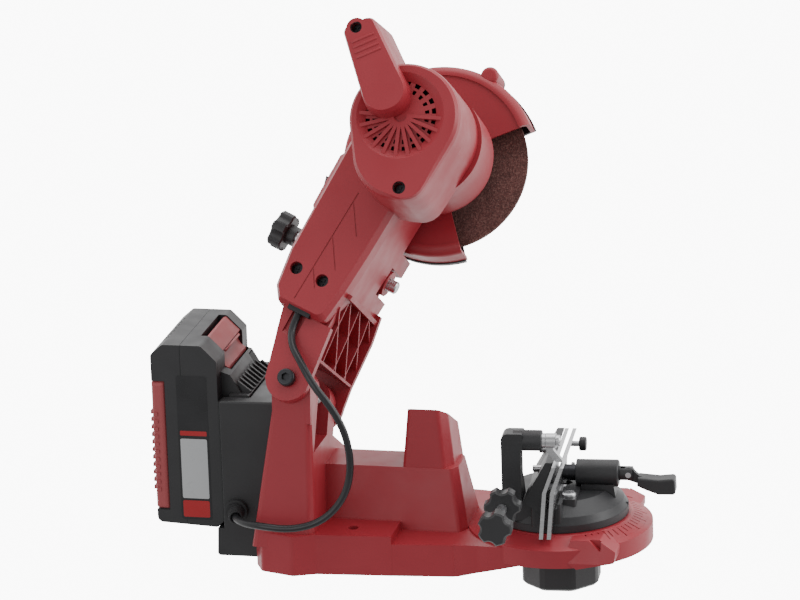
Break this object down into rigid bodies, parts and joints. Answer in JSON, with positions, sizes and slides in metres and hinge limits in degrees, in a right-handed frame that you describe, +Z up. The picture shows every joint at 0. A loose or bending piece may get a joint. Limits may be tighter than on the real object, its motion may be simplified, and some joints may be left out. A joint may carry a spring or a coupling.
{
  "type": "cordless chainsaw sharpener",
  "caption": "Bench-mounted cordless chain sharpener: tilting spring-loaded motor head with grinding wheel and guard, swivelling chain vise with stop, and a slide-in battery.",
  "frame": {"origin": "centre of the two bench-bolt holes, on the bench plane under the foot", "axes": "+Z up from the bench, +X from the battery towards the chain vise, +Y away from the vented end of the motor"},
  "size_m": [0.3148, 0.2469, 0.3479],
  "materials": {
    "red_plastic": "satin moulded",
    "black_plastic": "fine texture",
    "grip_plastic": "ribbed",
    "rubber": "matte",
    "steel": "zinc plated",
    "dark_steel": "black oxide",
    "aluminium": "cast",
    "copper_brass": "plain",
    "magnet": "sintered",
    "abrasive": "bonded grit",
    "board": "coated",
    "window": "smoked",
    "cell_wrap": "sleeved"
  },
  "bodies": {
    "base": {"base_housing": "red_plastic", "hinge_bolt": "dark_steel", "hinge_nut": "steel", "hinge_washers": "steel", "return_spring": "steel", "battery_holder": "black_plastic", "terminal_block": "black_plastic", "control_board": "board", "cable_gland": "rubber", "power_cable": "rubber"},
    "head": {"head_housing": "red_plastic", "head_cover": "red_plastic", "cable_grommet": "rubber", "handle_back": "red_plastic", "shell_screws": "dark_steel", "motor_can": "steel", "motor_magnets": "magnet", "brush_plate": "black_plastic", "front_bearing": "steel", "rear_bearing": "steel", "guard_housing": "red_plastic", "guard_cover": "black_plastic", "switch_body": "black_plastic", "depth_insert": "copper_brass"},
    "rotor": {"motor_shaft": "steel", "armature": "magnet", "cooling_fan": "black_plastic", "inner_flange": "steel", "grinding_wheel": "abrasive", "outer_flange": "steel", "arbor_nut": "steel"},
    "power_rocker": {"switch_rocker": "black_plastic"},
    "depth_screw": {"depth_rod": "steel"},
    "depth_turn_knob": {"depth_knob": "black_plastic"},
    "turntable": {"swivel_plate": "black_plastic", "fixed_rail": "steel", "rail_screws": "steel", "clamp_housing": "black_plastic", "lever_pin": "steel", "swivel_bolt": "steel"},
    "clamp_jaw": {"moving_rail": "steel", "push_rod": "dark_steel", "guide_cap": "black_plastic"},
    "clamp_lever": {"cam_lever": "black_plastic"},
    "swivel_knob": {"swivel_lock_knob": "black_plastic"},
    "chain_stop": {"stop_bracket": "black_plastic", "stop_bush": "steel", "stop_pivot_screw": "steel"},
    "pawl": {"stop_pawl": "steel"},
    "stop_screw": {"stop_adjust_rod": "steel", "stop_adjust_knob": "black_plastic"},
    "stop_nut": {"stop_lock_knob": "black_plastic"},
    "battery": {"battery_case_rear": "black_plastic", "battery_case_front": "black_plastic", "battery_grip": "grip_plastic", "charge_window": "window", "battery_cells": "cell_wrap", "battery_contacts": "copper_brass"},
    "latch_button": {"release_button": "grip_plastic"},
    "gauge_button": {"charge_button": "rubber"}
  },
  "joints": [
    {"name": "head_pivot", "type": "hinge", "parent": "base", "child": "head", "pos_m": [-0.034, -0.022, 0.104], "axis": [0, 0.866, -0.5], "range_deg": [0, 52], "stiffness_Nm_per_rad": 1.6, "springref_deg": -57.3, "deforming": ["power_cable", "return_spring"]},
    {"name": "wheel_spin", "type": "hinge", "parent": "head", "child": "rotor", "pos_m": [0.03204, 0.08919, 0.21659], "axis": [0, -0.866, 0.5], "continuous": true},
    {"name": "power_switch", "type": "hinge", "parent": "head", "child": "power_rocker", "pos_m": [-0.02307, 0.02961, 0.21438], "axis": [0, 0.866, -0.5], "range_deg": [0, 12]},
    {"name": "depth_slide", "type": "slide", "parent": "head", "child": "depth_screw", "axis": [0.91, -0.2073, -0.3591], "range_m": [-0.011, 0.0105]},
    {"name": "depth_turn", "type": "hinge", "parent": "depth_screw", "child": "depth_turn_knob", "pos_m": [-0.0591, 0.05169, 0.18164], "axis": [0.91, -0.2073, -0.3591], "range_deg": [-3168, 3024]},
    {"name": "vise_swivel", "type": "hinge", "parent": "base", "child": "turntable", "pos_m": [0.119, 0, 0.027], "axis": [0, 0, 1], "range_deg": [-39.5, 30.5]},
    {"name": "jaw_slide", "type": "slide", "parent": "turntable", "child": "clamp_jaw", "axis": [-0.9969, -0.0785, 0], "range_m": [0, 0.0015]},
    {"name": "lever_cam", "type": "hinge", "parent": "turntable", "child": "clamp_lever", "pos_m": [0.16087, 0.0033, 0.0516], "axis": [0.0785, -0.9969, 0], "range_deg": [0, 90]},
    {"name": "swivel_lock", "type": "hinge", "parent": "turntable", "child": "swivel_knob", "pos_m": [0.119, 0, -0.005], "axis": [0, 0, 1], "range_deg": [-180, 180]},
    {"name": "stop_slide", "type": "slide", "parent": "turntable", "child": "chain_stop", "axis": [-0.0785, 0.9969, 0], "range_m": [-0.005, 0.006]},
    {"name": "pawl_pivot", "type": "hinge", "parent": "chain_stop", "child": "pawl", "pos_m": [0.12194, -0.04115, 0.0856], "axis": [-0.9969, -0.0785, 0], "range_deg": [-60, 110]},
    {"name": "stop_turn", "type": "hinge", "parent": "turntable", "child": "stop_screw", "pos_m": [0.10182, -0.10668, 0.0545], "axis": [-0.0785, 0.9969, 0], "range_deg": [-2160, 1800]},
    {"name": "stop_lock", "type": "hinge", "parent": "turntable", "child": "stop_nut", "pos_m": [0.09923, -0.07378, 0.0545], "axis": [-0.0785, 0.9969, 0], "range_deg": [-360, 360]},
    {"name": "battery_slide", "type": "slide", "parent": "base", "child": "battery", "axis": [0, 0, 1], "range_m": [0, 0.09]},
    {"name": "latch_press", "type": "slide", "parent": "battery", "child": "latch_button", "axis": [-0.7071, 0, -0.7071], "range_m": [0, 0.002], "stiffness_N_per_m": 600, "springref_m": -0.001},
    {"name": "gauge_press", "type": "slide", "parent": "battery", "child": "gauge_button", "axis": [-0.847, 0, -0.5316], "range_m": [0, 0.0008], "stiffness_N_per_m": 400, "springref_m": -0.001}
  ],
  "couplings": [
    {"joint": "depth_slide", "follows": "depth_turn", "m_per_rad": 0.00019892},
    {"joint": "lever_cam", "follows": "jaw_slide", "rad_per_m": 1047.1},
    {"joint": "stop_slide", "follows": "stop_turn", "m_per_rad": -0.00015914}
  ]
}
